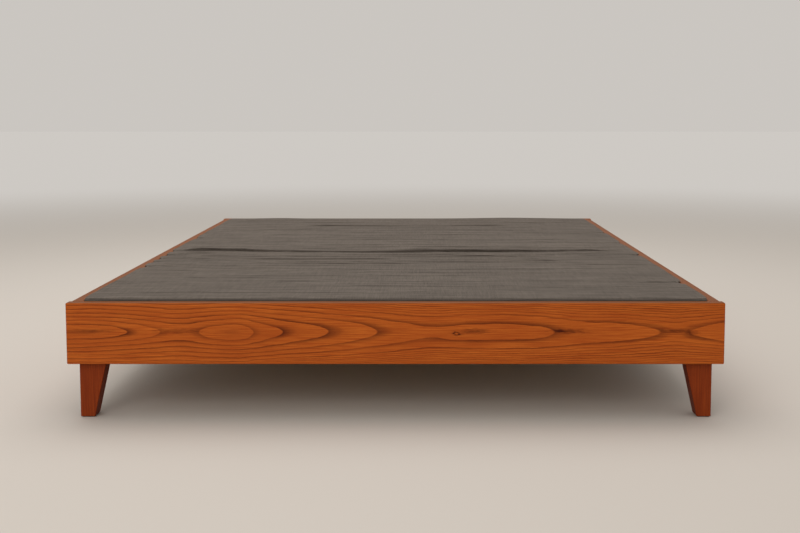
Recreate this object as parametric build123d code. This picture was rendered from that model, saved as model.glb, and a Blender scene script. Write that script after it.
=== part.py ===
"""Low wooden platform bed frame for a queen mattress.

Two end rails (foot and head) cover the ends of two side rails. A shouldered, tapered leg stands in each
corner: the rails sit on its shoulders, and its post is bolted to both rails from inside, so no fastener shows
outside. Ledges on the side rails and a centre beam carry fourteen slats, and one cloth cover is stretched
over them. Two centre legs lapped on the beam reach the floor through screw levelling feet.

Row frame: millimetres, +Z up, +Y towards the head end, origin on the floor under the middle of the frame.
"""
from build123d import *
import os

# --- Driving dimensions ----------------------------------------------------------------------------------
FRAME_WIDTH = 1550.0        # over the ends of the foot and head rails
FRAME_LENGTH = 2080.0       # over the outer faces of the foot and head rails
RAIL_HEIGHT = 146.0
RAIL_THICKNESS = 28.0
RAIL_UNDERSIDE = 133.0      # floor to the lower edge of the rails
SIDE_RAIL_SETBACK = 6.0     # side rail's outer face, in from the ends of the end rails
RAIL_ROUND = 3.0            # eased edges

LEG_WIDTH_TOP = 64.0
LEG_WIDTH_FOOT = 34.0
LEG_THICKNESS = 44.0
LEG_SETBACK_X = 23.0        # leg's outer face, in from the ends of the end rails
LEG_SETBACK_Y = 22.0        # leg's outer face, in from the end rail's outer face
LEG_ROUND = 2.0
FOOT_ROUND = 1.0            # the edges round the leg's lower end
POST_ROUND = 5.0            # the post's one free corner, inside the frame
GLIDE_THICKNESS = 2.0
GLIDE_INSET = 3.0
GLIDE_ROUND = 3.0

SLAT_COUNT = 14
SLAT_WIDTH = 68.0
SLAT_THICKNESS = 19.0
SLAT_END_GAP = 4.0          # slat end to the side rail's inner face
SLAT_FIRST_GAP = 4.0        # first slat to the end rail's inner face
SLAT_ROUND = 2.0

LEDGE_WIDTH = 25.0
LEDGE_HEIGHT = 30.0
LEDGE_LENGTH = 1920.0
LEDGE_SCREWS = 9
LEDGE_SCREW_MARGIN = 60.0   # first and last screws, in from the ledge's ends

BEAM_WIDTH = 38.0
BEAM_HEIGHT = 89.0
BEAM_END_GAP = 2.5          # beam end to the end rail's inner face

CENTRE_LEG_Y = 340.0        # distance of each centre leg from the middle
CENTRE_LEG_WIDTH = 58.0
CENTRE_LEG_THICKNESS = 38.0
CENTRE_LEG_UNDERSIDE = 20.0
CENTRE_LEG_BELOW_SLATS = 8.0

COVER_THICKNESS = 5.0       # cloth and its thin padding, over the slats
SKIRT_THICKNESS = 2.2
SKIRT_DROP = 17.0           # how far the cover turns down over the slat edges
SKIRT_CLEARANCE = 0.4
COVER_ROUND = 2.0

WEBBING_X = 430.0
WEBBING_WIDTH = 28.0
WEBBING_THICKNESS = 1.2
STAPLE_LENGTH = 12.0
STAPLE_WIDTH = 1.2
STAPLE_HEIGHT = 0.7

# --- Hardware --------------------------------------------------------------------------------------------
BOLT_R = 3.9                # M8 shank
BOLT_HOLE_R = 4.2
BOLT_HEAD_R = 7.5
BOLT_HEAD_HEIGHT = 5.0
BOLT_SOCKET_R = 2.9
BOLT_SOCKET_DEPTH = 3.0
BOLT_CHAMFER = 1.0
WASHER_R = 10.0
WASHER_THICKNESS = 1.6
INSERT_R = 6.0
INSERT_BORE_R = 4.0
INSERT_LENGTH = 18.0
INSERT_HOLE_DEPTH = 20.0
END_BOLT_HEIGHTS = (176.0, 228.0)    # through the post into the end rail
SIDE_BOLT_HEIGHTS = (148.0, 206.0)   # through the post into the side rail

DOWEL_R = 5.0
DOWEL_LENGTH = 40.0
DOWEL_IN_END_RAIL = 16.0
DOWEL_SLACK = 1.0
DOWEL_CHAMFER = 1.0
DOWEL_HEIGHTS = (173.0, 239.0)

SCREW_R = 2.2
SCREW_HEAD_R = 4.4
SCREW_HEAD_HEIGHT = 3.0
SCREW_BITE = 18.0

HANGER_STEEL = 2.0
HANGER_DEPTH = 45.0
HANGER_PLATE_WIDTH = 92.0
HANGER_CLEARANCE = 0.3
HANGER_SIDE_HEIGHT = 60.0
HANGER_SCREW_HEIGHTS = (15.0, 45.0)  # above the beam's underside
HANGER_SCREW_EDGE = 11.0             # in from the plate's sides

NUT_ACROSS = 13.0
NUT_HEIGHT = 6.5
BOLT_PAST_NUT = 3.0
LAP_BOLT_HEIGHTS = (190.0, 236.0)

LEVELLER_STEM_R = 3.95
LEVELLER_STEM_LENGTH = 46.0
LEVELLER_PAD_R = 19.0
LEVELLER_PAD_HEIGHT = 7.0
LEVELLER_PAD_BEVEL = (3.0, 6.0)      # down the side, across the top
LEVELLER_STEM_IN_PAD = 3.0
LEVELLER_STEM_CHAMFER = 0.8
LEVELLER_INSERT_R = 7.0
LEVELLER_INSERT_LENGTH = 18.0
LEVELLER_BORE_R = 4.0
LEVELLER_HOLE_R = 4.6
LEVELLER_HOLE_DEPTH = 60.0

# --- Derived places --------------------------------------------------------------------------------------
HALF_X = FRAME_WIDTH / 2
HALF_Y = FRAME_LENGTH / 2
RAIL_TOP = RAIL_UNDERSIDE + RAIL_HEIGHT
END_INNER = HALF_Y - RAIL_THICKNESS                   # inner face of the end rails
SIDE_OUTER = HALF_X - SIDE_RAIL_SETBACK
SIDE_INNER = SIDE_OUTER - RAIL_THICKNESS              # inner face of the side rails
SIDE_MIDDLE = (SIDE_OUTER + SIDE_INNER) / 2

LEG_OUTER_X = HALF_X - LEG_SETBACK_X
LEG_INNER_X = LEG_OUTER_X - LEG_WIDTH_TOP
LEG_OUTER_Y = HALF_Y - LEG_SETBACK_Y
LEG_INNER_Y = LEG_OUTER_Y - LEG_THICKNESS
POST_MIDDLE_X = (SIDE_INNER + LEG_INNER_X) / 2
POST_MIDDLE_Y = (END_INNER + LEG_INNER_Y) / 2

SLAT_TOP = RAIL_TOP                                   # the cover alone stands above the rails
SLAT_UNDERSIDE = SLAT_TOP - SLAT_THICKNESS
SLAT_END = SIDE_INNER - SLAT_END_GAP
SLAT_EDGE = END_INNER - SLAT_FIRST_GAP                # outer edge of the first and last slats
SLAT_PITCH = (2 * SLAT_EDGE - SLAT_WIDTH) / (SLAT_COUNT - 1)

BEAM_UNDERSIDE = SLAT_UNDERSIDE - BEAM_HEIGHT
BEAM_END = END_INNER - BEAM_END_GAP
CENTRE_LEG_X = BEAM_WIDTH / 2 + CENTRE_LEG_THICKNESS / 2
CENTRE_LEG_TOP = SLAT_UNDERSIDE - CENTRE_LEG_BELOW_SLATS

X, Y, Z = (1, 0, 0), (0, 1, 0), (0, 0, 1)
CORNERS = {"front_left": (-1, -1), "front_right": (1, -1), "rear_left": (-1, 1), "rear_right": (1, 1)}
SIDES = {"left": -1, "right": 1}
ENDS = {"foot": -1, "head": 1}
CENTRES = {"front": -1, "rear": 1}


# --- Building blocks -------------------------------------------------------------------------------------
def block(x0, x1, y0, y1, z0, z1):
    """A box between two values on each axis, given in either order."""
    size = (abs(x1 - x0), abs(y1 - y0), abs(z1 - z0))
    return Pos((x0 + x1) / 2, (y0 + y1) / 2, (z0 + z1) / 2) * Box(*size)


def rod(start, direction, length, radius):
    """A cylinder from start along direction."""
    return Plane(origin=start, z_dir=direction) * extrude(Circle(radius), length)


def hexagon(start, direction, height, across):
    """A hexagonal prism from start along direction."""
    outline = RegularPolygon(across / 2, 6, major_radius=False)
    return Plane(origin=start, z_dir=direction) * extrude(outline, height)


def moved(point, direction, distance):
    """The point at a distance from another along a direction."""
    return tuple(p + d * distance for p, d in zip(point, direction))


def scaled(direction, factor):
    """A direction turned round or kept, by a factor of -1 or 1."""
    return tuple(d * factor for d in direction)


def joined(pieces):
    """Separate solids as one group."""
    return Compound(children=list(pieces))


def write(name, shape):
    shape.label = name
    export_step(shape, f"parts/{name}.step")


# --- Where the fasteners go ------------------------------------------------------------------------------
def end_bolts():
    """(face of the end rail, outward direction) of each bolt from a leg's post into an end rail."""
    for sx, sy in CORNERS.values():
        for height in END_BOLT_HEIGHTS:
            yield (sx * POST_MIDDLE_X, sy * END_INNER, height), scaled(Y, sy)


def side_bolts():
    """(face of the side rail, outward direction) of each bolt from a leg's post into a side rail."""
    for sx, sy in CORNERS.values():
        for height in SIDE_BOLT_HEIGHTS:
            yield (sx * SIDE_INNER, sy * POST_MIDDLE_Y, height), scaled(X, sx)


def dowel_starts():
    """(point on the joint face, outward direction) of each dowel between a side rail and an end rail."""
    for sx, sy in CORNERS.values():
        for height in DOWEL_HEIGHTS:
            yield (sx * SIDE_MIDDLE, sy * END_INNER, height), scaled(Y, sy)


def ledge_screws():
    """(face of the side rail, outward direction) of each screw that holds a ledge."""
    reach = LEDGE_LENGTH / 2 - LEDGE_SCREW_MARGIN
    step = 2 * reach / (LEDGE_SCREWS - 1)
    for side in SIDES.values():
        for i in range(LEDGE_SCREWS):
            yield (side * SIDE_INNER, -reach + i * step, SLAT_UNDERSIDE - LEDGE_HEIGHT / 2), scaled(X, side)


def hanger_screws():
    """(face of the end rail, outward direction) of each screw that holds a beam hanger."""
    for end in ENDS.values():
        for side in SIDES.values():
            for height in HANGER_SCREW_HEIGHTS:
                x = side * (HANGER_PLATE_WIDTH / 2 - HANGER_SCREW_EDGE)
                yield (x, end * END_INNER, BEAM_UNDERSIDE + height), scaled(Y, end)


# --- Rails -----------------------------------------------------------------------------------------------
def end_rail(end):
    """The foot or head rail, with blind holes in its inner face."""
    rail = block(-HALF_X, HALF_X, end * END_INNER, end * HALF_Y, RAIL_UNDERSIDE, RAIL_TOP)
    rail = fillet(rail.edges(), RAIL_ROUND)
    for start, out in end_bolts():
        if out[1] == end:
            rail -= rod(start, out, INSERT_HOLE_DEPTH, INSERT_R)
    for start, out in dowel_starts():
        if out[1] == end:
            rail -= rod(start, out, DOWEL_IN_END_RAIL + DOWEL_SLACK, DOWEL_R)
    for start, out in hanger_screws():
        if out[1] == end:
            rail -= screw(start, out, HANGER_STEEL)
    return rail


def side_rail(side):
    """A side rail between the end rails, with its insert, dowel and screw holes."""
    rail = block(side * SIDE_INNER, side * SIDE_OUTER, -END_INNER, END_INNER, RAIL_UNDERSIDE, RAIL_TOP)
    rail = fillet(rail.edges().filter_by(Axis.Y), RAIL_ROUND)
    for start, out in side_bolts():
        if out[0] == side:
            rail -= rod(start, out, INSERT_HOLE_DEPTH, INSERT_R)
    for start, out in dowel_starts():
        if start[0] * side > 0:
            depth = DOWEL_LENGTH - DOWEL_IN_END_RAIL + DOWEL_SLACK
            rail -= rod(start, scaled(out, -1), depth, DOWEL_R)
    for start, out in ledge_screws():
        if out[0] == side:
            rail -= rod(start, out, SCREW_BITE, SCREW_R)
    return rail


# --- Corner legs -----------------------------------------------------------------------------------------
def corner_leg(sx, sy):
    """A tapered leg under the rails and its post inside the corner, one piece of wood with two shoulders."""
    outline = Polyline(
        (sx * LEG_OUTER_X, GLIDE_THICKNESS),
        (sx * (LEG_OUTER_X - LEG_WIDTH_FOOT), GLIDE_THICKNESS),
        (sx * LEG_INNER_X, RAIL_UNDERSIDE),
        (sx * LEG_OUTER_X, RAIL_UNDERSIDE),
        close=True,
    )
    middle = sy * (LEG_OUTER_Y + LEG_INNER_Y) / 2
    face = Plane.XZ.offset(-middle) * make_face(outline)
    leg = extrude(face, LEG_THICKNESS / 2, both=True)
    ends = leg.faces().sort_by(Axis.Z)
    end_edges = [*ends[0].edges(), *ends[-1].edges()]
    leg = fillet([e for e in leg.edges() if e not in end_edges], LEG_ROUND)
    leg = fillet(leg.faces().sort_by(Axis.Z)[0].edges(), FOOT_ROUND)
    post = block(sx * LEG_INNER_X, sx * SIDE_INNER, sy * LEG_INNER_Y, sy * END_INNER,
                 RAIL_UNDERSIDE, SLAT_UNDERSIDE)
    leg += fillet(post.edges().filter_by(Axis.Z).sort_by_distance((0, 0, RAIL_TOP))[0], POST_ROUND)
    through = 2 * LEG_WIDTH_TOP   # past the post's far side
    for start, out in [*end_bolts(), *side_bolts()]:
        if start[0] * sx > 0 and start[1] * sy > 0:
            leg -= rod(start, scaled(out, -1), through, BOLT_HOLE_R)
    return leg


def leg_glide(sx, sy):
    """A thin nylon pad under a corner leg's foot."""
    x0 = sx * (LEG_OUTER_X - GLIDE_INSET)
    x1 = sx * (LEG_OUTER_X - LEG_WIDTH_FOOT + GLIDE_INSET)
    y0 = sy * (LEG_OUTER_Y - GLIDE_INSET)
    y1 = sy * (LEG_INNER_Y + GLIDE_INSET)
    pad = block(x0, x1, y0, y1, 0, GLIDE_THICKNESS)
    return fillet(pad.edges().filter_by(Axis.Z), GLIDE_ROUND)


# --- Bolts, inserts, dowels and screws -------------------------------------------------------------------
def bolt(start, out, grip):
    """A socket-head bolt whose shank crosses grip and the insert beyond it."""
    seat = moved(start, out, -grip - WASHER_THICKNESS)
    shank = rod(seat, out, grip + WASHER_THICKNESS + INSERT_LENGTH - 1, BOLT_R)
    head_top = moved(seat, out, -BOLT_HEAD_HEIGHT)
    head = rod(head_top, out, BOLT_HEAD_HEIGHT, BOLT_HEAD_R)
    head = chamfer(head.edges().filter_by(GeomType.CIRCLE).sort_by_distance(head_top)[0], BOLT_CHAMFER)
    return head + shank - hexagon(head_top, out, BOLT_SOCKET_DEPTH, 2 * BOLT_SOCKET_R)


def washer(start, out, grip):
    seat = moved(start, out, -grip - WASHER_THICKNESS)
    return rod(seat, out, WASHER_THICKNESS, WASHER_R) - rod(seat, out, WASHER_THICKNESS, BOLT_HOLE_R)


def insert(start, out):
    """A threaded insert, flush with the rail's inner face."""
    return rod(start, out, INSERT_LENGTH, INSERT_R) - rod(start, out, INSERT_LENGTH, INSERT_BORE_R)


def dowel(start, out):
    body = rod(moved(start, out, DOWEL_IN_END_RAIL - DOWEL_LENGTH), out, DOWEL_LENGTH, DOWEL_R)
    return chamfer(body.edges().filter_by(GeomType.CIRCLE), DOWEL_CHAMFER)


def screw(start, out, grip):
    """A wood screw with a countersunk head, flush with the face of the piece that it holds."""
    face = moved(start, out, -grip)
    head = Plane(origin=face, z_dir=out) * Pos(0, 0, SCREW_HEAD_HEIGHT / 2) * Cone(
        SCREW_HEAD_R, SCREW_R, SCREW_HEAD_HEIGHT)
    return head + rod(face, out, grip + SCREW_BITE, SCREW_R)


# --- Ledges, beam and slats ------------------------------------------------------------------------------
def slat_ledge(side):
    """The strip on a side rail that carries the slat ends, drilled and countersunk for its screws."""
    ledge = block(side * SIDE_INNER, side * (SIDE_INNER - LEDGE_WIDTH), -LEDGE_LENGTH / 2, LEDGE_LENGTH / 2,
                  SLAT_UNDERSIDE - LEDGE_HEIGHT, SLAT_UNDERSIDE)
    ledge = fillet(ledge.edges().filter_by(Axis.Y), SLAT_ROUND)
    for start, out in ledge_screws():
        if out[0] == side:
            ledge -= screw(start, out, LEDGE_WIDTH)
    return ledge


def centre_beam():
    """The beam under the middle of the slats, with cross holes for the centre legs' bolts."""
    beam = block(-BEAM_WIDTH / 2, BEAM_WIDTH / 2, -BEAM_END, BEAM_END, BEAM_UNDERSIDE, SLAT_UNDERSIDE)
    beam = fillet(beam.edges().filter_by(Axis.Y), SLAT_ROUND)
    for position in lap_bolt_places():
        beam -= rod((-BEAM_WIDTH, *position), X, 2 * BEAM_WIDTH, BOLT_HOLE_R)
    return beam


def beam_hanger(end):
    """A folded steel stirrup on an end rail: back plate, seat and two cheeks."""
    half = BEAM_WIDTH / 2 + HANGER_CLEARANCE
    back = end * END_INNER
    plate_front = end * (END_INNER - HANGER_STEEL)
    lip = end * (END_INNER - HANGER_DEPTH)
    seat_z = BEAM_UNDERSIDE - HANGER_STEEL
    top = BEAM_UNDERSIDE + HANGER_SIDE_HEIGHT
    hanger = block(-HANGER_PLATE_WIDTH / 2, HANGER_PLATE_WIDTH / 2, back, plate_front, seat_z, top)
    hanger += block(-half - HANGER_STEEL, half + HANGER_STEEL, back, lip, seat_z, BEAM_UNDERSIDE)
    for side in SIDES.values():
        hanger += block(side * half, side * (half + HANGER_STEEL), back, lip, seat_z, top)
    for start, out in hanger_screws():
        if out[1] == end:
            hanger -= screw(start, out, HANGER_STEEL)
    return hanger


def slat(index):
    """One slat; the first is at the foot end."""
    y0 = -SLAT_EDGE + index * SLAT_PITCH
    board = block(-SLAT_END, SLAT_END, y0, y0 + SLAT_WIDTH, SLAT_UNDERSIDE, SLAT_TOP)
    return fillet(board.edges().filter_by(Axis.X), SLAT_ROUND)


def slat_webbing(side):
    """The tape under the slats that keeps them at their spacing."""
    x = side * WEBBING_X
    return block(x - WEBBING_WIDTH / 2, x + WEBBING_WIDTH / 2, -SLAT_EDGE, SLAT_EDGE,
                 SLAT_UNDERSIDE - WEBBING_THICKNESS, SLAT_UNDERSIDE)


def webbing_staple(x, y):
    """The crown of a staple, against the underside of the tape."""
    top = SLAT_UNDERSIDE - WEBBING_THICKNESS
    return Pos(x, y, top - STAPLE_HEIGHT / 2) * Box(STAPLE_LENGTH, STAPLE_WIDTH, STAPLE_HEIGHT)


def webbing_staples():
    for side in SIDES.values():
        for index in range(SLAT_COUNT):
            middle = -SLAT_EDGE + index * SLAT_PITCH + SLAT_WIDTH / 2
            for offset in (-SLAT_WIDTH / 4, SLAT_WIDTH / 4):
                yield webbing_staple(side * WEBBING_X, middle + offset)


def slat_cover():
    """The cloth cover as one plain solid: a flat top over the slats, turned down round their outer edges."""
    x_in = SLAT_END + SKIRT_CLEARANCE
    y_in = SLAT_EDGE + SKIRT_CLEARANCE
    x_out = x_in + SKIRT_THICKNESS
    y_out = y_in + SKIRT_THICKNESS
    cover = block(-x_out, x_out, -y_out, y_out, SLAT_TOP - SKIRT_DROP, SLAT_TOP + COVER_THICKNESS)
    cover -= block(-x_in, x_in, -y_in, y_in, SLAT_TOP - SKIRT_DROP, SLAT_TOP)
    top_edges = cover.faces().sort_by(Axis.Z)[-1].edges()
    return fillet(top_edges, COVER_ROUND)


# --- Centre legs and levelling feet ----------------------------------------------------------------------
def lap_bolt_places():
    """(y, z) of each bolt that laps a centre leg on the beam."""
    for centre in CENTRES.values():
        for height in LAP_BOLT_HEIGHTS:
            yield centre * CENTRE_LEG_Y, height


def centre_leg(centre):
    """A square-edged leg beside the beam, bored from below for its levelling foot."""
    y = centre * CENTRE_LEG_Y
    leg = block(BEAM_WIDTH / 2, BEAM_WIDTH / 2 + CENTRE_LEG_THICKNESS, y - CENTRE_LEG_WIDTH / 2,
                y + CENTRE_LEG_WIDTH / 2, CENTRE_LEG_UNDERSIDE, CENTRE_LEG_TOP)
    leg = fillet(leg.edges().filter_by(Axis.Z), SLAT_ROUND)
    foot = (CENTRE_LEG_X, y, CENTRE_LEG_UNDERSIDE)
    leg -= rod(foot, Z, LEVELLER_HOLE_DEPTH, LEVELLER_HOLE_R)
    leg -= rod(foot, Z, LEVELLER_INSERT_LENGTH, LEVELLER_INSERT_R)
    for place_y, height in lap_bolt_places():
        if place_y == y:
            leg -= rod((0, y, height), X, 3 * BEAM_WIDTH, BOLT_HOLE_R)
    return leg


def lap_bolt(y, z):
    """A bolt through the beam and a centre leg, its head on the beam's side."""
    seat = -BEAM_WIDTH / 2 - WASHER_THICKNESS
    far = BEAM_WIDTH / 2 + CENTRE_LEG_THICKNESS + WASHER_THICKNESS + NUT_HEIGHT
    shank = rod((seat, y, z), X, far - seat + BOLT_PAST_NUT, BOLT_R)
    return shank + hexagon((seat - BOLT_HEAD_HEIGHT, y, z), X, BOLT_HEAD_HEIGHT, NUT_ACROSS)


def lap_nut(y, z):
    start = BEAM_WIDTH / 2 + CENTRE_LEG_THICKNESS + WASHER_THICKNESS
    at = (start, y, z)
    return hexagon(at, X, NUT_HEIGHT, NUT_ACROSS) - rod(at, X, NUT_HEIGHT, INSERT_BORE_R)


def lap_washers(y, z):
    for start in (-BEAM_WIDTH / 2 - WASHER_THICKNESS, BEAM_WIDTH / 2 + CENTRE_LEG_THICKNESS):
        at = (start, y, z)
        yield rod(at, X, WASHER_THICKNESS, WASHER_R) - rod(at, X, WASHER_THICKNESS, BOLT_HOLE_R)


def leveller_insert(centre):
    """The threaded sleeve in a centre leg's foot."""
    foot = (CENTRE_LEG_X, centre * CENTRE_LEG_Y, CENTRE_LEG_UNDERSIDE)
    sleeve = rod(foot, Z, LEVELLER_INSERT_LENGTH, LEVELLER_INSERT_R)
    return sleeve - rod(foot, Z, LEVELLER_INSERT_LENGTH, LEVELLER_BORE_R)


def leveller_stem(centre):
    """The foot's screw, moulded a little way into its pad."""
    start = (CENTRE_LEG_X, centre * CENTRE_LEG_Y, LEVELLER_PAD_HEIGHT - LEVELLER_STEM_IN_PAD)
    stem = rod(start, Z, LEVELLER_STEM_LENGTH, LEVELLER_STEM_R)
    return chamfer(stem.edges().sort_by(Axis.Z)[-1], LEVELLER_STEM_CHAMFER)


def leveller_pad(centre):
    """The foot's round pad, domed at its upper edge, with a blind hole for the screw."""
    y = centre * CENTRE_LEG_Y
    pad = rod((CENTRE_LEG_X, y, 0), Z, LEVELLER_PAD_HEIGHT, LEVELLER_PAD_R)
    pad = chamfer(pad.edges().filter_by(GeomType.CIRCLE).sort_by(Axis.Z)[-1], *LEVELLER_PAD_BEVEL)
    socket = (CENTRE_LEG_X, y, LEVELLER_PAD_HEIGHT - LEVELLER_STEM_IN_PAD)
    return pad - rod(socket, Z, LEVELLER_STEM_IN_PAD, LEVELLER_STEM_R)


# --- The whole object ------------------------------------------------------------------------------------
def main():
    os.makedirs("parts", exist_ok=True)
    for name, end in ENDS.items():
        write(f"{name}_rail", end_rail(end))
        write(f"beam_hanger_{name}", beam_hanger(end))
    for name, side in SIDES.items():
        write(f"side_rail_{name}", side_rail(side))
        write(f"slat_ledge_{name}", slat_ledge(side))
        write(f"slat_webbing_{name}", slat_webbing(side))
    for name, signs in CORNERS.items():
        write(f"leg_{name}", corner_leg(*signs))
        write(f"leg_glide_{name}", leg_glide(*signs))

    end_grip = END_INNER - LEG_INNER_Y
    side_grip = SIDE_INNER - LEG_INNER_X
    gripped = [(place, end_grip) for place in end_bolts()] + [(place, side_grip) for place in side_bolts()]
    write("leg_bolts", joined(bolt(*place, grip) for place, grip in gripped))
    write("leg_bolt_washers", joined(washer(*place, grip) for place, grip in gripped))
    write("rail_inserts", joined(insert(*place) for place, _ in gripped))
    write("rail_dowels", joined(dowel(*place) for place in dowel_starts()))
    write("ledge_screws", joined(screw(*place, LEDGE_WIDTH) for place in ledge_screws()))
    write("hanger_screws", joined(screw(*place, HANGER_STEEL) for place in hanger_screws()))

    write("centre_beam", centre_beam())
    for index in range(SLAT_COUNT):
        write(f"slat_{index + 1:02d}", slat(index))
    write("webbing_staples", joined(webbing_staples()))
    write("slat_cover", slat_cover())

    for name, centre in CENTRES.items():
        write(f"centre_leg_{name}", centre_leg(centre))
        write(f"leveller_insert_{name}", leveller_insert(centre))
        write(f"leveller_stem_{name}", leveller_stem(centre))
        write(f"leveller_pad_{name}", leveller_pad(centre))
    write("lap_bolts", joined(lap_bolt(*place) for place in lap_bolt_places()))
    write("lap_nuts", joined(lap_nut(*place) for place in lap_bolt_places()))
    write("lap_washers", joined(ring for place in lap_bolt_places() for ring in lap_washers(*place)))


main()
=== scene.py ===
"""The looks of a low wooden platform bed frame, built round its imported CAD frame.

Metres, +Z up, +Y towards the head end, as in the frame. The wood, steel and plastic parts are the CAD nodes
with procedural materials. The cloth cover, its felt, its hem and the slat webbing are built here.
"""
import math

import bpy
import numpy as np
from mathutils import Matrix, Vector


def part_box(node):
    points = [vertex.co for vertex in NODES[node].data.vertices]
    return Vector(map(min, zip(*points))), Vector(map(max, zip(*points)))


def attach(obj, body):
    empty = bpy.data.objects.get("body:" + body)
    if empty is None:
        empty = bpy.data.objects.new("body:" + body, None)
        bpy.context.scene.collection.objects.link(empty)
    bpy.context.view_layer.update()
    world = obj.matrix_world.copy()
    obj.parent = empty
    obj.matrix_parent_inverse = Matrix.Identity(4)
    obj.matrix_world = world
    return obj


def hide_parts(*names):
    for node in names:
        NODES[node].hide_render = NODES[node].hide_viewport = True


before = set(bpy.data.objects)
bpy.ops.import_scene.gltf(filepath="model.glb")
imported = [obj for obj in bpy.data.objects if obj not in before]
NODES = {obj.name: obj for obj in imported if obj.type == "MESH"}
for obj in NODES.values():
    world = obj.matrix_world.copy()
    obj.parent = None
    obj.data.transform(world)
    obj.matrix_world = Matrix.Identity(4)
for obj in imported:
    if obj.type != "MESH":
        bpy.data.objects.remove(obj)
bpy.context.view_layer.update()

BOX = {name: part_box(name) for name in NODES}
SLATS = sorted(name for name in NODES if name.startswith("slat_") and name[5:].isdigit())
LEG_CORNERS = ("front_left", "front_right", "rear_left", "rear_right")
MM = 0.001


# --- Small helpers ------------------------------------------------------------------------------------------
def rgb(red, green, blue):
    """A screen colour, 0 to 255 a channel, as the linear colour that shaders and lights use."""
    def linear(c):
        c = c / 255
        return c / 12.92 if c <= 0.04045 else ((c + 0.055) / 1.055) ** 2.4
    return (linear(red), linear(green), linear(blue), 1.0)


def smoothstep(low, high, value):
    """0 up to low, 1 from high on, and a smooth rise between them."""
    t = np.clip((value - low) / (high - low), 0, 1)
    return t * t * (3 - 2 * t)


class Nodes:
    """One material and its node tree. Each call adds a node and returns its output."""

    def __init__(self, name):
        self.material = bpy.data.materials.new(name)
        self.material.use_nodes = True
        self.tree = self.material.node_tree
        self.shader = self.tree.nodes["Principled BSDF"]

    def put(self, socket, value):
        if isinstance(value, bpy.types.NodeSocket):
            self.tree.links.new(value, socket)
        else:
            socket.default_value = value

    def add(self, kind, inputs, output=0, **settings):
        node = self.tree.nodes.new("ShaderNode" + kind)
        for name, value in settings.items():
            setattr(node, name, value)
        for key, value in inputs.items():
            self.put(node.inputs[key], value)
        return node.outputs[output]

    def shade(self, **inputs):
        """Sets the shader's sockets; base_color stands for Base Color."""
        for name, value in inputs.items():
            words = name.replace("_", " ").title().replace("Ior", "IOR")
            self.put(self.shader.inputs[words], value)

    def math(self, operation, a, b=0.0, c=0.0, clamp=False):
        return self.add("Math", {0: a, 1: b, 2: c}, operation=operation, use_clamp=clamp)

    def total(self, *values):
        out = values[0]
        for value in values[1:]:
            out = self.math("ADD", out, value)
        return out

    def remap(self, value, low, high, to_low=0.0, to_high=1.0):
        return self.add("MapRange", {0: value, 1: low, 2: high, 3: to_low, 4: to_high})

    def place(self):
        """The point in the row frame at rest, as three numbers."""
        point = self.add("TexCoord", {}, output=3)
        split = self.add("SeparateXYZ", {0: point}).node
        return [split.outputs[i] for i in range(3)]

    def vector(self, x, y, z):
        return self.add("CombineXYZ", {0: x, 1: y, 2: z})

    def noise(self, vector, scale=1.0, detail=2.0, roughness=0.5, distortion=0.0):
        inputs = {"Vector": vector, "Scale": scale, "Detail": detail, "Roughness": roughness,
                  "Distortion": distortion}
        return self.add("TexNoise", inputs)

    def stretched_noise(self, point, pitches, detail=2.0, roughness=0.5):
        """Noise whose features are about pitches metres long on each axis."""
        scaled = [self.math("MULTIPLY", p, 1 / pitch) for p, pitch in zip(point, pitches)]
        return self.noise(self.vector(*scaled), 1.0, detail, roughness)

    def mix(self, factor, a, b, blend="MIX"):
        inputs = {0: factor, 6: a, 7: b}
        return self.add("Mix", inputs, output=2, data_type="RGBA", blend_type=blend)

    def ramp(self, value, stops):
        """stops is a list of (position, brightness)."""
        out = self.add("ValToRGB", {0: value})
        elements = out.node.color_ramp.elements
        for element, (position, level) in zip(elements, stops[:2]):
            element.position = position
            element.color = (level, level, level, 1)
        for position, level in stops[2:]:
            elements.new(position).color = (level, level, level, 1)
        return out

    def curve(self, value, points):
        """A smooth curve through points, each (0 to 1, 0 to 1)."""
        out = self.add("FloatCurve", {1: value})
        line = out.node.mapping.curves[0]
        for point, (x, y) in zip((line.points[0], line.points[-1]), (points[0], points[-1])):
            point.location = (x, y)
        for x, y in points[1:-1]:
            line.points.new(x, y)
        out.node.mapping.update()
        return out

    def bump(self, height, strength, distance):
        normal = self.add("Bump", {"Strength": strength, "Distance": distance, "Height": height})
        self.shade(normal=normal)


# --- Wood ---------------------------------------------------------------------------------------------------
# Each wood's body colours, its growth lines, its end grain, and where given a painted shade for the faces
# across the board (the rails' tops and bottoms, the legs' sides)
STAINED = {
    "light": rgb(204, 108, 38), "mid": rgb(168, 76, 24), "line": rgb(72, 24, 8),
    "end": rgb(92, 35, 13), "edge": rgb(114, 68, 30), "roughness": 0.48, "shine": 0.09,
}
# A darker copy of the rails' stain for the legs: partly a darker stain, partly painted shade of the legs
# under the rails
LEG_STAIN_AND_SHADE = {
    "light": rgb(156, 68, 25), "mid": rgb(130, 50, 18), "line": rgb(74, 25, 9),
    "end": rgb(80, 29, 11), "edge": rgb(100, 36, 12), "roughness": 0.48, "shine": 0.09,
}
PINE = {
    "light": rgb(226, 196, 150), "mid": rgb(212, 176, 126), "line": rgb(176, 128, 78),
    "end": rgb(186, 144, 96), "roughness": 0.62, "shine": 0.25,
}
BEECH = {
    "light": rgb(222, 188, 148), "mid": rgb(208, 170, 128), "line": rgb(178, 136, 98),
    "end": rgb(180, 138, 100), "roughness": 0.55, "shine": 0.25,
}

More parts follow.
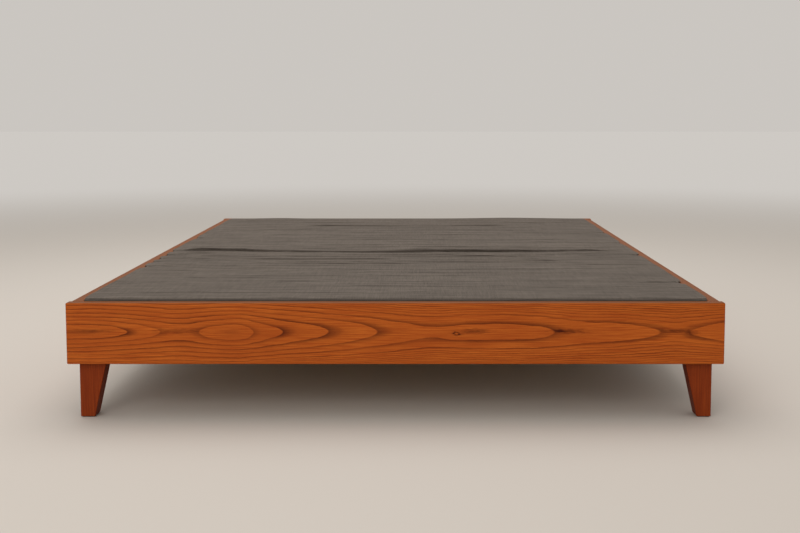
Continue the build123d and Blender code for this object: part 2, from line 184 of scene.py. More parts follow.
# Depth of the pith behind a rail's face, as (share of the length from its start, share of PITH_SPAN). Where
# it rises through a ring's radius, that ring closes in an arch, and where it dips, the ring closes in a lens.
PITH_SPAN = 100.0
PITH_HEIGHT = 77 * MM       # of the pith's line above the rails' lower edge
FOOT_FIGURE = [
    (0.0, 0.15), (0.05, 0.155), (0.092, 0.215), (0.142, 0.30), (0.172, 0.335), (0.203, 0.30),
    (0.228, 0.258), (0.256, 0.24), (0.274, 0.265), (0.284, 0.30), (0.328, 0.385), (0.397, 0.47),
    (0.471, 0.555), (0.507, 0.595), (0.552, 0.629), (0.62, 0.613), (0.72, 0.626), (0.739, 0.64),
    (0.78, 0.675), (0.842, 0.696), (0.899, 0.725), (0.925, 0.74), (0.95, 0.725), (1.0, 0.69),
]
# A pin knot on the foot rail's face, its pale eye, and dark streaks, in mm: distance to the right of the
# rail's middle, height above the pith's line, half length, half height, and strength
FOOT_MARKS = [
    (144, -4, 10, 6, 1.1), (144, -4, 5, 3, -1.6), (188, 2, 44, 8, 0.6), (410, 2, 56, 7, 0.55),
    (654, 3, 52, 6, 0.42), (698, -2, 20, 8, 0.4), (-512, 2, 66, 9, 0.4), (-690, 3, 60, 5, 0.3),
]
KNOT_SWERVE = 5.0       # mm by which the rings bend out round the pin knot
FIRST_RING = 0.47
LATE_GROWTH = 74.0      # mm from the pith, beyond which the rings lie closer together
LATE_DENSITY = 1.5      # rings added there for each ring of the usual spacing
HEAD_FIGURE = [
    (0.0, 0.62), (0.12, 0.55), (0.27, 0.40), (0.36, 0.34),
    (0.46, 0.37), (0.60, 0.22), (0.78, 0.30), (1.0, 0.12),
]
LEFT_FIGURE = [
    (0.0, 0.30), (0.10, 0.22), (0.24, 0.36), (0.33, 0.40),
    (0.45, 0.31), (0.62, 0.45), (0.80, 0.52), (1.0, 0.60),
]
RIGHT_FIGURE = [
    (0.0, 0.55), (0.16, 0.48), (0.30, 0.52), (0.47, 0.36),
    (0.58, 0.28), (0.70, 0.34), (0.86, 0.24), (1.0, 0.16),
]
# How dark a growth line is across one ring, as (share of the ring, darkness), the ramp's two ends first
RING_PROFILE = [(0.0, 0.0), (1.0, 0.0), (0.035, 0.95), (0.12, 0.72), (0.38, 0.14), (0.8, 0.02)]


def ring_radius(n, along, across, depth, seed):
    """Distance from the pith in mm, with the waviness of a grown ring."""
    slow = n.stretched_noise((n.math("ADD", along, seed), across, 0.0), (0.30, 0.06, 1.0), 2.0)
    quick = n.stretched_noise((along, n.math("ADD", across, seed), 0.0), (0.04, 0.014, 1.0), 3.0, 0.6)
    waver = n.total(n.remap(slow, 0.3, 0.7, -2.2, 2.2), n.remap(quick, 0.3, 0.7, -0.9, 0.9))
    side = n.math("ADD", n.math("MULTIPLY", across, 1000.0), waver)
    return n.math("SQRT", n.math("ADD", n.math("POWER", side, 2.0), n.math("POWER", depth, 2.0)))


def mark(n, along, across, place, size, strength, ragged=0.45):
    """A dark mark of this strength at its middle, fading to 0 at about its half length and half height."""
    edge = n.stretched_noise((along, across, 0.0), (0.018, 0.0022, 1.0), 2.0, 0.6)
    parts = [n.math("POWER", n.math("DIVIDE", n.math("SUBTRACT", value, middle * MM), half * MM), 2.0)
             for value, middle, half in zip((along, across), place, size)]
    reach = n.total(n.math("SQRT", n.total(*parts)), n.remap(edge, 0.3, 0.7, -ragged, ragged))
    return n.remap(reach, 0.15, 1.0, strength, 0.0)


def wood(name, axes, origin, palette, figure=None, length=1.0, pith=30.0, pitch=8.5, seed=0.0, marks=()):
    """Wood sawn from a log. axes are the row axes along, across and into the board, and origin is the point
    on its face where the grain starts. pith is the pith's depth in mm, or figure gives it along the board.
    pitch is the rings' spacing in mm. marks are on the face, the first of them the knot."""
    n = Nodes(name)
    place = n.place()
    along, across, inward = (n.math("SUBTRACT", place[a], o) for a, o in zip(axes, origin))
    if figure:
        share = n.curve(n.math("DIVIDE", along, length), figure)
        behind = n.math("MULTIPLY", share, PITH_SPAN)
    else:
        swell = n.stretched_noise((n.math("ADD", along, seed), 0.0, 0.0), (0.55, 1, 1), 1.0)
        behind = n.remap(swell, 0.3, 0.7, pith * 0.6, pith * 1.4)
    depth = n.math("ADD", n.math("MULTIPLY", n.math("ABSOLUTE", inward), 1000.0), behind)
    radius = ring_radius(n, along, across, depth, seed)
    from_middle = n.math("SUBTRACT", along, length / 2)
    if marks:
        knot, size = marks[0][:2], (5 * marks[0][2], 3 * marks[0][3])
        radius = n.math("SUBTRACT", radius, mark(n, from_middle, across, knot, size, KNOT_SWERVE, 0.0))

    late_rings = n.math("MAXIMUM", n.math("SUBTRACT", radius, LATE_GROWTH), 0.0)
    added = n.math("MULTIPLY", late_rings, LATE_DENSITY / pitch)
    phase = n.total(n.math("DIVIDE", radius, pitch), added, FIRST_RING)
    ring = n.math("FLOOR", phase)
    line = n.ramp(n.math("FRACT", phase), RING_PROFILE)
    luck = n.add("TexWhiteNoise", {1: n.math("ADD", ring, seed)}, noise_dimensions="1D")
    fading = n.stretched_noise((along, across, n.math("MULTIPLY", ring, 0.37)), (0.16, 0.03, 1.0), 2.0)
    strength = n.math("MULTIPLY", n.remap(luck, 0, 1, 0.6, 1.0), n.remap(fading, 0.3, 0.6, 0.5, 1.0))
    line = n.math("MULTIPLY", line, strength)
    for x, y, half_length, half_height, dark in marks:
        streak = mark(n, from_middle, across, (x, y), (half_length, half_height), dark)
        line = n.math("ADD", line, streak, clamp=True)

    point = (along, across, inward)
    fibre = n.stretched_noise(point, (0.09, 0.0022, 0.0022), 3.0, 0.65)
    pore = n.stretched_noise(point, (0.012, 0.0006, 0.0006), 2.0, 0.6)
    cloud = n.stretched_noise(point, (0.30, 0.045, 0.045), 2.0)
    pores = n.math("MULTIPLY", n.remap(pore, 0.58, 0.72), n.remap(line, 0.0, 0.6, 0.35, 1.0))

    body = n.mix(n.remap(fibre, 0.35, 0.65), palette["light"], palette["mid"])
    body = n.mix(n.remap(cloud, 0.4, 0.7, 0.0, 0.55), body, palette["mid"])
    marked = n.mix(line, body, palette["line"])
    marked = n.mix(n.math("MULTIPLY", pores, 0.5), marked, palette["line"])
    normal = n.add("SeparateXYZ", {0: n.add("TexCoord", {}, output=1)}).node
    cut = n.remap(n.math("ABSOLUTE", normal.outputs[axes[0]]), 0.6, 0.95)
    colour = n.mix(n.math("MULTIPLY", cut, 0.7), marked, palette["end"])
    # Painted shade: where the palette has an edge colour, the faces across the board (the rails' tops and
    # bottoms, the legs' sides) are darkened towards it
    if "edge" in palette:
        edge = n.remap(n.math("ABSOLUTE", normal.outputs[axes[1]]), 0.5, 0.95)
        colour = n.mix(n.math("MULTIPLY", edge, 0.8), colour, palette["edge"])
    roughness = palette["roughness"]
    n.shade(base_color=colour, roughness=n.remap(line, 0, 1, roughness, roughness + 0.14),
            specular_ior_level=palette["shine"])
    relief = n.math("MULTIPLY", n.total(line, pores, n.math("MULTIPLY", fibre, 0.5)), -1.0)
    n.bump(relief, 0.35, 0.0004)
    return n.material


# --- Metal and plastic --------------------------------------------------------------------------------------
def metal(name, colour, roughness, grain=0.004):
    """Plated or turned metal with faint streaks and handling marks."""
    n = Nodes(name)
    point = n.place()
    streak = n.stretched_noise(point, (grain, grain * 0.2, grain), 3.0, 0.6)
    marks = n.stretched_noise(point, (0.012, 0.012, 0.012), 3.0)
    dull = tuple(c * 0.72 for c in colour[:3]) + (1.0,)
    n.shade(base_color=n.mix(n.remap(marks, 0.4, 0.7), colour, dull), metallic=1.0,
            roughness=n.remap(streak, 0.3, 0.7, roughness * 0.8, roughness * 1.25))
    n.bump(streak, 0.15, 0.0002)
    return n.material


def moulded(name, colour, roughness, texture=0.0012):
    """Moulded or powder-coated surface with a fine orange-peel texture."""
    n = Nodes(name)
    point = n.place()
    peel = n.stretched_noise(point, (texture,) * 3, 2.0)
    scuffs = n.stretched_noise(point, (0.02, 0.02, 0.02), 3.0, 0.7)
    worn = tuple(min(1.0, c * 1.5 + 0.01) for c in colour[:3]) + (1.0,)
    n.shade(base_color=n.mix(n.remap(scuffs, 0.55, 0.75, 0.0, 0.5), colour, worn),
            roughness=n.remap(scuffs, 0.3, 0.7, roughness * 0.85, roughness * 1.15))
    n.bump(peel, 0.25, 0.0002)
    return n.material


# --- Textiles -----------------------------------------------------------------------------------------------
def woven(name, light, dark, thread, slub=0.4, roughness=0.85, sheen=0.02):
    """Plain weave: crossed threads, with thick and thin places along each one. thread is the pitch of two of
    them. A per-point attribute on the piece darkens the cloth with painted shade in its folds
    and along its turned-down edges."""
    n = Nodes(name)
    x, y, z = n.place()
    across = n.math("MULTIPLY", n.math("ADD", x, z), 2 * math.pi / thread)
    along = n.math("MULTIPLY", n.math("ADD", y, z), 2 * math.pi / thread)
    weave = n.math("MULTIPLY", n.math("SINE", across), n.math("SINE", along))
    weft = n.stretched_noise((x, y, z), (0.11, 0.0021, 0.004), 3.0, 0.6)
    warp = n.stretched_noise((x, y, z), (0.0021, 0.08, 0.004), 2.0)
    cloud = n.stretched_noise((x, y, z), (0.35, 0.16, 0.2), 2.0)
    streaks = n.total(n.math("MULTIPLY", weft, 0.75), n.math("MULTIPLY", warp, 0.25))
    colour = n.mix(n.remap(streaks, 0.5 - slub * 0.25, 0.5 + slub * 0.25), dark, light)
    colour = n.mix(n.remap(weave, -1.0, 0.2, 0.18, 0.0), colour, dark)
    colour = n.mix(n.remap(cloud, 0.35, 0.7, 0.0, 0.3), colour, dark)
    # Painted shade: the piece's per-point attribute mixes the cloth towards a shadow colour in folds and on
    # its turned-down edges
    painted_shade = n.add("Attribute", {}, output=2, attribute_name="painted_shade")
    shadow = tuple(0.3 * c for c in dark[:3]) + (1.0,)
    colour = n.mix(n.math("MULTIPLY", painted_shade, 0.55), colour, shadow)
    n.shade(base_color=colour, roughness=roughness, sheen_weight=sheen, sheen_roughness=0.5,
            specular_ior_level=0.1)
    n.bump(n.total(weave, n.math("MULTIPLY", weft, 2.0)), 0.3, 0.0003)
    return n.material


def felted(name, light, dark):
    """Needled felt: tangled short fibres and darker flecks."""
    n = Nodes(name)
    point = n.place()
    tangle = n.noise(n.vector(*point), 420.0, 4.0, 0.7, 1.5)
    flecks = n.noise(n.vector(*point), 90.0, 3.0, 0.6, 0.6)
    colour = n.mix(n.remap(tangle, 0.35, 0.65), dark, light)
    colour = n.mix(n.remap(flecks, 0.6, 0.72, 0.0, 0.6), colour, dark)
    n.shade(base_color=colour, roughness=0.95, sheen_weight=0.2)
    n.bump(tangle, 0.5, 0.0006)
    return n.material


# --- The cloth cover ----------------------------------------------------------------------------------------
COVER_LOW = BOX["slat_cover"][0]
FOOT_FACE = BOX["foot_rail"][0].y
RAIL_TOP = BOX["foot_rail"][1].z
SLAT_TOP = BOX["slat_01"][1].z
EDGE_X = BOX["side_rail_right"][0].x - 0.8 * MM     # the cover's sides, just clear of the side rails
EDGE_Y = BOX["head_rail"][0].y - 0.9 * MM
CORNER = 14 * MM
FOOT_SLOPE = 15.0           # mm over which the cloth turns down at the foot end
SKIRT_BOTTOM = COVER_LOW.z + 1.0 * MM
LEAN = 0.8                  # how far each fold leans towards the foot, as a share of its rise
FELT_TOP = SLAT_TOP + 1.0 * MM
FOOT_RISE = 6.2             # mm by which the cloth's top is above the rails at the foot end
HEAD_RISE = 2.2             # and at the head end
BULGE = 3.6                 # mm by which the cloth's sides swell out over the rails, on average
BULGE_WAVE = 1.5
HEM_RADIUS = 1.1 * MM
# Painted shade: the cover's colour is darkened on its folds' slopes, more the steeper they are
FOLD_SHADE = 2.3            # how fast the cloth darkens as a fold's far side gets steeper

# Folds across the cover that lie where the cloth has slack along its length, in mm: distance of the fold from
# the foot end at mid-width, from and to where it runs across, its rise, its spread, and how far its ends lie
# further from the foot than its middle.
FOLDS = [
    (118, -680, 140, 1.6, 6, 8),
    (214, -300, 500, 1.1, 8, 12),
    (300, -560, 620, 1.4, 8, 10),
    (398, -640, 300, 1.5, 8, 14),
    (452, -200, 640, 1.0, 9, 22),
    (520, -500, 660, 1.4, 9, 30),
    (588, -700, 120, 1.5, 9, 16),
    (636, -500, 80, 3.0, 8, 10),
    (690, -120, 560, 2.0, 9, 40),
    (738, -560, 40, 3.2, 8, 18),
    (796, -700, 420, 2.4, 8, 30),
    (842, -300, 640, 2.2, 8, 36),
    (905, -745, 690, 7.4, 6, 56),
    (985, -420, 560, 1.9, 9, 30),
    (1052, -640, 380, 1.4, 9, 20),
    (1120, -600, 200, 1.7, 9, 16),
    (1190, -100, 640, 1.5, 9, 24),
    (1265, -260, 640, 1.9, 9, 20),
    (1345, -640, 100, 1.5, 9, 12),
    (1420, -560, 420, 1.7, 9, 12),
    (1505, -300, 600, 1.4, 9, 14),
    (1590, -640, 560, 1.8, 9, 10),
    (1672, -500, 240, 1.6, 9, 10),
    (1738, -440, 440, 3.6, 7, 4),
    (1812, -200, 620, 1.6, 9, 8),
    (1870, -500, 620, 2.0, 9, 6),
]
# Places on the cover's sides that are pulled in between slats, in mm: distance from the foot end, side,
# length of the short folds that run in from there, and their rise
PULLS = [
    (300, 1, 150, 1.6), (865, 1, 260, 2.0), (1510, 1, 180, 1.5), (604, -1, 240, 1.9), (700, -1, 200, 1.4),
    (775, -1, 220, 1.7), (862, -1, 260, 2.0), (960, -1, 200, 1.4), (1330, -1, 160, 1.2), (1180, 1, 150, 1.0),
]


def fold_height(x, d):
    """The rise in mm of every fold across the cover at x and at distance d from the foot end, both in mm."""
    rise = np.zeros_like(x)
    for middle, start, end, height, spread, bow in FOLDS:
        centre = middle + bow * ((x - (start + end) / 2) / ((end - start) / 2)) ** 2
        centre = centre + 3.0 * np.sin(x / 97 + middle) + 1.6 * np.sin(x / 41 + 2.3 * middle)
        off = d - centre
        shape = np.where(off < 0, np.exp(-(off / spread) ** 2), np.exp(-(off / (2.6 * spread)) ** 2))
        fade = smoothstep(start, start + 120, x) * (1 - smoothstep(end - 120, end, x))
        rise += height * shape * fade * (1 + 0.25 * np.sin(x / 130 + middle))
    return rise


def pull_height(x, d):
    """The rise in mm of the short folds at the cover's sides."""
    rise = np.zeros_like(x)
    for place, side, length, height in PULLS:
        inward = EDGE_X / MM - side * x
        for lean in (-0.22, 0.05, 0.30):
            off = d - place - lean * inward
            spread = 5 + 0.05 * inward
            rise += height * np.exp(-(off / spread) ** 2) * np.exp(-(inward / length) ** 2)
    return rise


def lattice_noise(x, d, pitch_x, pitch_d, seed):
    """Smooth random values, -1 to 1, on a lattice with these pitches in mm."""
    rng = np.random.default_rng(seed)
    u, v = (x + 900) / pitch_x, (d + 60) / pitch_d
    i, j = np.floor(u).astype(int), np.floor(v).astype(int)
    corners = rng.uniform(-1, 1, (i.max() + 3, j.max() + 3))
    fu, fv = smoothstep(0, 1, u - i), smoothstep(0, 1, v - j)
    near = corners[i, j] * (1 - fu) + corners[i + 1, j] * fu
    far = corners[i, j + 1] * (1 - fu) + corners[i + 1, j + 1] * fu
    return near * (1 - fv) + far * fv


def wrinkles(x, d, pitch_x, pitch_d, sharpness, seed):
    """Long thin ridges, 0 to 1, that wander across the cloth and fade in and out."""
    bent = d + 0.9 * pitch_d * lattice_noise(x, d, 1.4 * pitch_x, 6 * pitch_d, seed + 1)
    ridge = np.clip(1 - np.abs(lattice_noise(x, bent, pitch_x, pitch_d, seed)) * sharpness, 0, 1)
    return ridge ** 1.6 * smoothstep(-0.5, 0.5, lattice_noise(x, d, pitch_x, 3 * pitch_d, seed + 2))


def slack(x, d):
    """Random wrinkles and slow undulation in mm, the same on each run; most where the cloth is slackest."""
    slow = 0.8 * lattice_noise(x, d, 420, 130, 3) + 0.6 * lattice_noise(x, d, 300, 52, 4)
    loose = 0.55 + 0.45 * smoothstep(520, 640, d) * (1 - smoothstep(980, 1120, d))
    large = 2.3 * wrinkles(x, d, 380, 44, 3.2, 21)
    small = 1.2 * wrinkles(x, d, 230, 19, 2.4, 37) + 0.5 * wrinkles(x, d, 150, 10, 2.0, 53)
    return slow + loose * (large + small)


def edge_reach(x, y):
    """How far in mm the cloth bulges out past the rails' inner faces, below zero where it is drawn in."""
    d = (y - FOOT_FACE) / MM
    side = np.sign(x)
    wave = np.sin(d / 71 + 1.3 * side) + 0.7 * np.sin(d / 29 + 2.1 * side + np.sin(d / 130))
    reach = BULGE + BULGE_WAVE * (wave + 0.4 * np.sin(d / 13))
    for place, pulled, _, height in PULLS:
        reach -= (4 + 4 * height) * np.exp(-((d - place) / 10) ** 2) * (pulled == side)
    reach = np.where(np.abs(x) > EDGE_X - 2 * CORNER, reach, 1.2 * smoothstep(1000, 2000, d))
    near_corner = np.hypot(EDGE_X - np.abs(x), EDGE_Y - np.abs(y)) / MM
    return reach * smoothstep(12, 26, near_corner)


def waves(x, y):
    """The rise in mm of the folds and wrinkles together, less near the edges."""
    d = (y - FOOT_FACE) / MM
    mm_x = x / MM
    span = 1 - smoothstep(EDGE_X / MM - 60, EDGE_X / MM, np.abs(mm_x))
    ends = smoothstep(40, 100, d) * (1 - 0.6 * smoothstep(1960, 2045, d))
    return (fold_height(mm_x, d) + slack(mm_x, d)) * (0.15 + 0.85 * span) * ends


def cloth_top(x, y):
    """Height in metres of the cover's top at x, y."""
    d = (y - FOOT_FACE) / MM
    mm_x = x / MM
    level = FOOT_RISE + (HEAD_RISE - FOOT_RISE) * smoothstep(0, 1700, d)
    bulges = 3.4 * np.exp(-((mm_x + 530) / 80) ** 2) + 5.4 * np.exp(-((mm_x - 430) / 180) ** 2)
    level = level + bulges * smoothstep(1850, 1990, d) * (1 - 0.4 * smoothstep(2010, 2052, d))
    level = level + waves(x, y) + pull_height(mm_x, d)
    to_foot, to_side = d - (EDGE_Y + FOOT_FACE) / -MM, EDGE_X / MM - np.abs(mm_x)
    turned_down = np.clip(1 - to_foot / FOOT_SLOPE, 0, 1)
    level = level * (1 - 0.86 * turned_down ** 2)
    corner = np.clip(1 - np.hypot(to_foot, to_side) / 22, 0, 1)
    level = level * (1 - 0.75 * corner ** 2)
    for place, side, _, height in PULLS:
        inward = EDGE_X / MM - side * mm_x
        sunk = np.exp(-((d - place + 12) / 24) ** 2) * np.exp(-(inward / 24) ** 2)
        level = level * (1 - 0.5 * height * sunk)
    return RAIL_TOP + MM * np.maximum(level, 1.1)


def grid_faces(columns, rows):
    """The faces of a grid of points that is listed row by row."""
    row = columns + 1
    return [(j * row + i, j * row + i + 1, (j + 1) * row + i + 1, (j + 1) * row + i)
            for j in range(rows) for i in range(columns)]


def edge_ring(step_x, step_y, corner_steps):
    """The grid's edge, front side first and to the right: the grid place of each point, and its way outward.
    Each corner is there several times, turning from one side's way to the next's, nearly square."""
    sides = [
        [(i, 0) for i in range(step_x + 1)], [(step_x, j) for j in range(step_y + 1)],
        [(i, step_y) for i in range(step_x, -1, -1)], [(0, j) for j in range(step_y, -1, -1)],
    ]
    places, turns = [], []
    for number, side in enumerate(sides):
        start = (number - 1) * math.pi / 2
        turns += [start] * len(side)
        turns += [start + t * math.pi / 2 / corner_steps for t in range(1, corner_steps)]
        places += side + [side[-1]] * (corner_steps - 1)
    ways = np.stack([np.cos(turns), np.sin(turns)], -1)
    return np.array(places), ways / (np.abs(ways) ** 6).sum(1, keepdims=True) ** (1 / 6)


def edge_rows(edge, ways):
    """The rings of points from the grid's edge to the hem: over the top, out past the rail and back, down."""
    rail = CORNER - 0.6 * MM
    brink = edge[:, :2] + ways * rail
    reach = edge_reach(brink[:, 0], brink[:, 1]) * MM
    turn = rail + np.minimum(reach, 0)
    rows = []
    for share in (0.22, 0.42, 0.58, 0.72, 0.84, 0.94):
        ring = edge.copy()
        ring[:, :2] += ways * (turn * share)[:, None]
        ring[:, 2] = cloth_top(ring[:, 0], ring[:, 1])
        rows.append(ring)
    width = np.maximum(reach, 0) + 0.6 * MM
    top = cloth_top(*(edge[:, :2] + ways * turn[:, None]).T)
    bottom = np.full_like(top, RAIL_TOP + 0.3 * MM)
    for angle in np.linspace(0, math.pi, 10):
        ring = edge.copy()
        ring[:, :2] += ways * (turn + width * math.sin(angle))[:, None]
        ring[:, 2] = (top + bottom) / 2 + (top - bottom) / 2 * math.cos(angle)
        rows.append(ring)
    back = 1 - smoothstep(-4, -1, np.minimum(reach / MM, 0))
    for share in (0.15, 0.4, 0.7, 1.0):
        ring = edge.copy()
        hang = turn + (CORNER - turn) * min(1, share / 0.4) * (1 - back) - 0.2 * MM * math.sin(4 * share)
        ring[:, :2] += ways * hang[:, None]
        ring[:, 2] = bottom + (SKIRT_BOTTOM - bottom) * share
        rows.append(ring)
    return rows


def cover_mesh():
    """The cover's top as a grid, and its turned-down sides as rows round the grid's edge."""
    half_x, half_y = EDGE_X - CORNER, EDGE_Y - CORNER
    step_x, step_y = 104, 600
    line_x, line_y = np.linspace(-half_x, half_x, step_x + 1), np.linspace(-half_y, half_y, step_y + 1)
    grid_x, grid_y = np.meshgrid(line_x, line_y)
    rise = waves(grid_x, grid_y)
    leaning = grid_y - LEAN * MM * (rise - rise.min()) * smoothstep(0, 1, np.minimum(rise, 1))
    points = [np.stack([grid_x, leaning, cloth_top(grid_x, grid_y)], -1).reshape(-1, 3)]
    # Painted shade: the cloth is darkened where it rises towards the head, on the slopes of folds and side
    # pulls that face the foot end
    drawn = rise + pull_height(grid_x / MM, (grid_y - FOOT_FACE) / MM)
    painted_shades = [np.clip(FOLD_SHADE * np.gradient(drawn, line_y / MM, axis=0), 0, 1).reshape(-1)]
    faces = grid_faces(step_x, step_y)
    places, ways = edge_ring(step_x, step_y, 6)
    previous = places[:, 1] * (step_x + 1) + places[:, 0]
    for ring in edge_rows(points[0][previous], ways):
        current = sum(len(p) for p in points) + np.arange(len(ring))
        points.append(ring)
        # Painted shade on the cloth below the rails' top: at the foot end from 6 mm above it, elsewhere from
        # 0.6 mm above it and stronger
        at_foot = ring[:, 1] < -EDGE_Y + 2 * CORNER
        low = np.where(at_foot, 6.0 * MM, 0.6 * MM)
        dark = np.where(at_foot, 1.0, 1.6)
        painted_shades.append(dark * smoothstep(0, 1, (RAIL_TOP + low - ring[:, 2]) / (3 * MM)))
        for a in range(len(ring)):
            b = (a + 1) % len(ring)
            quad = (int(previous[a]), int(current[a]), int(current[b]), int(previous[b]))
            faces.append(quad if previous[a] != previous[b] else quad[:3])
        previous = current
    return np.concatenate(points).tolist(), faces, np.concatenate(painted_shades), points[-1].tolist()


def new_mesh(name, points, faces, material, smooth=True):
    mesh = bpy.data.meshes.new(name)
    mesh.from_pydata(points, [], faces)
    mesh.validate()
    mesh.polygons.foreach_set("use_smooth", [smooth] * len(mesh.polygons))
    mesh.materials.append(material)
    piece = bpy.data.objects.new(name, mesh)
    bpy.context.scene.collection.objects.link(piece)
    return piece


def thicken(piece, thickness, offset=-1.0):
    modifier = piece.modifiers.new("thickness", "SOLIDIFY")
    modifier.thickness = thickness
    modifier.offset = offset
    return piece


def build_cover(material):
    points, faces, painted_shades, hem_line = cover_mesh()
    cover = new_mesh("cover_cloth", points, faces, material)
    cover.data.attributes.new("painted_shade", "FLOAT", "POINT").data.foreach_set("value", painted_shades)
    return cover, hem_line


def tube(name, line, radius, material, sides=8):
    """A closed tube along a closed line of points."""
    line = [Vector(p) for p in line]
    count = len(line)
    points, faces = [], []
    for i, p in enumerate(line):
        ahead = (line[(i + 1) % count] - line[i - 1]).normalized()
        out = Vector((ahead.y, -ahead.x, 0)).normalized()
        for k in range(sides):
            angle = 2 * math.pi * k / sides
            points.append(p + radius * (math.cos(angle) * out + math.sin(angle) * Vector((0, 0, 1))))
    for i in range(count):
        for k in range(sides):
            a, b = i * sides, (i + 1) % count * sides
            faces.append((a + k, b + k, b + (k + 1) % sides, a + (k + 1) % sides))
    return new_mesh(name, points, faces, material)


def build_hem(hem_line, material):
    """The elastic hem, a soft roll just inside the skirt's lower edge."""
    line = []
    for i in range(0, len(hem_line), 2):
        x, y, z = hem_line[i]
        inset = 1 - 1.6 * MM / max(abs(x), abs(y))
        line.append((x * inset, y * inset, z + 0.9 * MM + 0.25 * MM * math.sin(i * 0.9)))
    return tube("cover_hem", line, HEM_RADIUS, material)


def build_felt(material):
    """The thin felt between the slats and the cloth."""
    half_x, half_y = EDGE_X - CORNER, EDGE_Y - CORNER
    count_x, count_y = 60, 84
    xs, ys = np.linspace(-half_x, half_x, count_x + 1), np.linspace(-half_y, half_y, count_y + 1)
    rng = np.random.default_rng(5)
    points = [(x, y, FELT_TOP - 0.15 * MM * rng.random()) for y in ys for x in xs]
    felt = new_mesh("cover_felt", points, grid_faces(count_x, count_y), material)
    return thicken(felt, FELT_TOP - SLAT_TOP - 0.2 * MM)


# --- Slat webbing -------------------------------------------------------------------------------------------
WEBBING_SAG = 2.2 * MM
TAPE_THICKNESS = 0.9 * MM
HELD_IN = 2 * MM            # how far in from a slat's edges the tape lies flat against it


def build_webbing(side, material):
    """A tape stapled under each slat, slack between them."""
    low, high = BOX[f"slat_webbing_{side}"]
    spans = [(BOX[name][0].y + HELD_IN, BOX[name][1].y - HELD_IN) for name in SLATS]
    line = []
    for number, (start, end) in enumerate(spans):
        line += [(y, 0.0) for y in np.linspace(start, end, 9)]
        if number + 1 < len(spans):
            gap = spans[number + 1][0] - end
            line += [(end + t * gap, WEBBING_SAG * 4 * t * (1 - t)) for t in np.linspace(0, 1, 11)[1:-1]]
    across = np.linspace(low.x, high.x, 9)
    ribs = 0.1 * MM * (1 + np.cos(4 * math.pi * np.linspace(0, 1, 9)))
    points = [(x, y, high.z - sag - rib) for y, sag in line for x, rib in zip(across, ribs)]
    faces = grid_faces(len(across) - 1, len(line) - 1)
    return thicken(new_mesh(f"webbing_{side}", points, faces, material), TAPE_THICKNESS)


# --- Materials of the CAD nodes -----------------------------------------------------------------------------
def finish_node(name, material):
    node = NODES[name]
    node.data.materials.clear()
    node.data.materials.append(material)


def finish_rails():
    foot, head = BOX["foot_rail"], BOX["head_rail"]
    pith_line = foot[0].z + PITH_HEIGHT
    width = foot[1].x - foot[0].x
    ends = (0, 2, 1)
    start = (foot[0].x, pith_line, foot[0].y)
    finish_node("foot_rail", wood("foot_rail_wood", ends, start, STAINED, FOOT_FIGURE, width, seed=1.3,
                                  marks=FOOT_MARKS))
    start = (head[0].x, pith_line, head[1].y)
    finish_node("head_rail", wood("head_rail_wood", ends, start, STAINED, HEAD_FIGURE, width, seed=4.1))
    for side, figure, seed in (("left", LEFT_FIGURE, 7.7), ("right", RIGHT_FIGURE, 9.2)):
        low, high = BOX[f"side_rail_{side}"]
        start = (low.y, pith_line, low.x if side == "left" else high.x)
        finish_node(f"side_rail_{side}", wood(f"side_rail_{side}_wood", (1, 2, 0), start, STAINED, figure,
                                              high.y - low.y, seed=seed))


def finish_legs():
    """The corner legs, each sawn so that the pith lies beyond its inner side."""
    pith_x, pith_y = 62 * MM, 30 * MM
    for number, corner in enumerate(LEG_CORNERS):
        low, high = BOX[f"leg_{corner}"]
        start = (low.z, low.x - pith_x if low.x > 0 else high.x + pith_x, low.y - pith_y)
        finish_node(f"leg_{corner}", wood(f"leg_{corner}_wood", (2, 0, 1), start, LEG_STAIN_AND_SHADE, pith=20.0,
                                          pitch=4.5, seed=2.0 + 3.1 * number))


def finish_base():
    for number, name in enumerate(SLATS):
        low, high = BOX[name]
        start = (low.x, (low.y + high.y) / 2 + 0.02 * math.sin(2.4 * number), low.z)
        finish_node(name, wood(f"{name}_wood", (0, 1, 2), start, PINE, pith=14.0 + 9 * (number % 4),
                               pitch=4.2, seed=1.7 * number))
    for side, seed in (("left", 5.5), ("right", 8.5)):
        low, high = BOX[f"slat_ledge_{side}"]
        start = (low.y, low.z, low.x)
        finish_node(f"slat_ledge_{side}", wood(f"ledge_{side}_wood", (1, 2, 0), start, PINE, pith=60.0,
                                               pitch=3.6, seed=seed))
    low, high = BOX["centre_beam"]
    start = (low.y, (low.z + high.z) / 2, low.x)
    finish_node("centre_beam", wood("beam_wood", (1, 2, 0), start, PINE, pith=26.0, pitch=4.6, seed=3.3))
    for end, seed in (("front", 6.1), ("rear", 2.9)):
        low, high = BOX[f"centre_leg_{end}"]
        start = (low.z, low.y, low.x)
        finish_node(f"centre_leg_{end}", wood(f"centre_leg_{end}_wood", (2, 1, 0), start, PINE, pith=50.0,
                                              pitch=4.0, seed=seed))
    finish_node("rail_dowels", wood("dowel_wood", (1, 2, 0), (0.0, 0.0, 0.0), BEECH, pith=40.0, pitch=2.2))


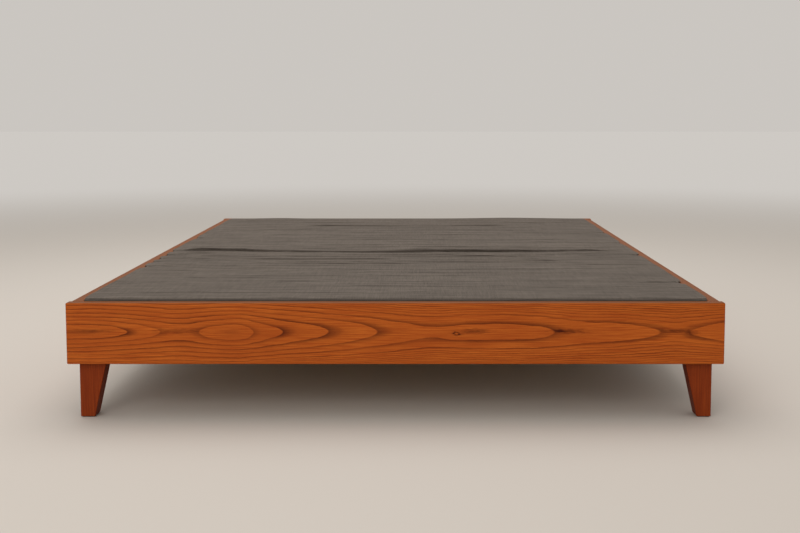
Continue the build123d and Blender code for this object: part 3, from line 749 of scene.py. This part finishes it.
def finish_hardware():
    zinc = metal("zinc_steel", rgb(190, 190, 186), 0.34)
    yellow = metal("yellow_zinc", rgb(196, 170, 108), 0.36)
    for name in ("leg_bolts", "leg_bolt_washers", "lap_bolts", "lap_nuts", "lap_washers",
                 "leveller_insert_front", "leveller_insert_rear",
                 "leveller_stem_front", "leveller_stem_rear"):
        finish_node(name, zinc)
    for name in ("ledge_screws", "hanger_screws", "webbing_staples"):
        finish_node(name, yellow)
    finish_node("rail_inserts", metal("insert_brass", rgb(202, 168, 92), 0.32))
    black = moulded("hanger_coat", rgb(34, 34, 35), 0.55)
    for name in ("beam_hanger_foot", "beam_hanger_head"):
        finish_node(name, black)
    nylon = moulded("glide_nylon", rgb(96, 62, 44), 0.5)
    for corner in LEG_CORNERS:
        finish_node(f"leg_glide_{corner}", nylon)
    pad = moulded("leveller_nylon", rgb(30, 30, 31), 0.5)
    for end in ("front", "rear"):
        finish_node(f"leveller_pad_{end}", pad)


# --- Soft pieces --------------------------------------------------------------------------------------------
def soft_pieces():
    cloth = woven("cover_cloth", rgb(120, 111, 103), rgb(82, 75, 69), 0.0011)
    felt = build_felt(felted("cover_felt", rgb(206, 202, 192), rgb(150, 146, 138)))
    cover, hem_line = build_cover(cloth)
    hem = build_hem(hem_line, woven("hem_tape", rgb(92, 86, 78), rgb(66, 61, 55), 0.0008))
    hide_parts("slat_cover")
    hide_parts("slat_cover")
    for piece in (cover, felt, hem):
        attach(piece, "frame")
    tape = woven("webbing_tape", rgb(216, 208, 190), rgb(176, 166, 146), 0.0016, slub=0.3)
    for side in ("left", "right"):
        webbing = build_webbing(side, tape)
        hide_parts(f"slat_webbing_{side}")
        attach(webbing, "frame")


# --- Stage, light and camera --------------------------------------------------------------------------------
ROOM = (230, 225, 219)
ROOM_LIGHT = 0.75


def stage():
    n = Nodes("pale_floor")
    x, y, _ = n.place()
    away = n.math("SQRT", n.math("ADD", n.math("POWER", x, 2.0), n.math("POWER", y, 2.0)))
    far = n.remap(away, 2.6, 8.0)
    n.tree.nodes[far.node.name].interpolation_type = "SMOOTHSTEP"
    n.shade(base_color=n.mix(far, rgb(212, 207, 201), (0, 0, 0, 1)), roughness=0.8, specular_ior_level=0.05,
            emission_color=rgb(*ROOM), emission_strength=n.math("MULTIPLY", far, ROOM_LIGHT))
    half = 40.0
    corners = [(-half, -half, 0), (half, -half, 0), (half, half, 0), (-half, half, 0)]
    floor = new_mesh("floor", corners, [(0, 1, 2, 3)], n.material)


def area_light(name, place, target, size, power, colour):
    data = bpy.data.lights.new(name, "AREA")
    data.shape = "RECTANGLE"
    data.size, data.size_y = size
    data.energy = power
    data.color = colour[:3]
    light = bpy.data.objects.new(name, data)
    light.location = place
    light.rotation_euler = (Vector(target) - Vector(place)).to_track_quat("-Z", "Y").to_euler()
    bpy.context.scene.collection.objects.link(light)


def lights():
    area_light("overhead", (-0.4, 0.5, 3.3), (0, -0.3, 0.2), (3.6, 3.0), 59, rgb(255, 251, 246))
    area_light("front_fill", (-1.4, -4.8, 2.2), (0, -1.0, 0.2), (2.6, 2.2), 43, rgb(255, 248, 240))
    world = bpy.data.worlds.new("soft_room")
    world.use_nodes = True
    background = world.node_tree.nodes["Background"]
    background.inputs["Color"].default_value = rgb(*ROOM)
    background.inputs["Strength"].default_value = ROOM_LIGHT
    bpy.context.scene.world = world
    bpy.context.scene.view_settings.view_transform = "Standard"


EYE = (0.0634, -3.5773, 0.7222)
LOOK_DOWN = 4.861           # degrees below level


def camera():
    data = bpy.data.cameras.new("camera")
    data.sensor_width = 36
    data.lens = 49.215
    data.shift_x, data.shift_y = -0.028, -0.075
    data.dof.use_dof = False
    item = bpy.data.objects.new("camera", data)
    item.location = EYE
    item.rotation_euler = (math.radians(90 - LOOK_DOWN), 0, 0)
    bpy.context.scene.collection.objects.link(item)
    bpy.context.scene.camera = item


camera()
stage()
lights()
finish_rails()
finish_legs()
finish_base()
finish_hardware()
soft_pieces()
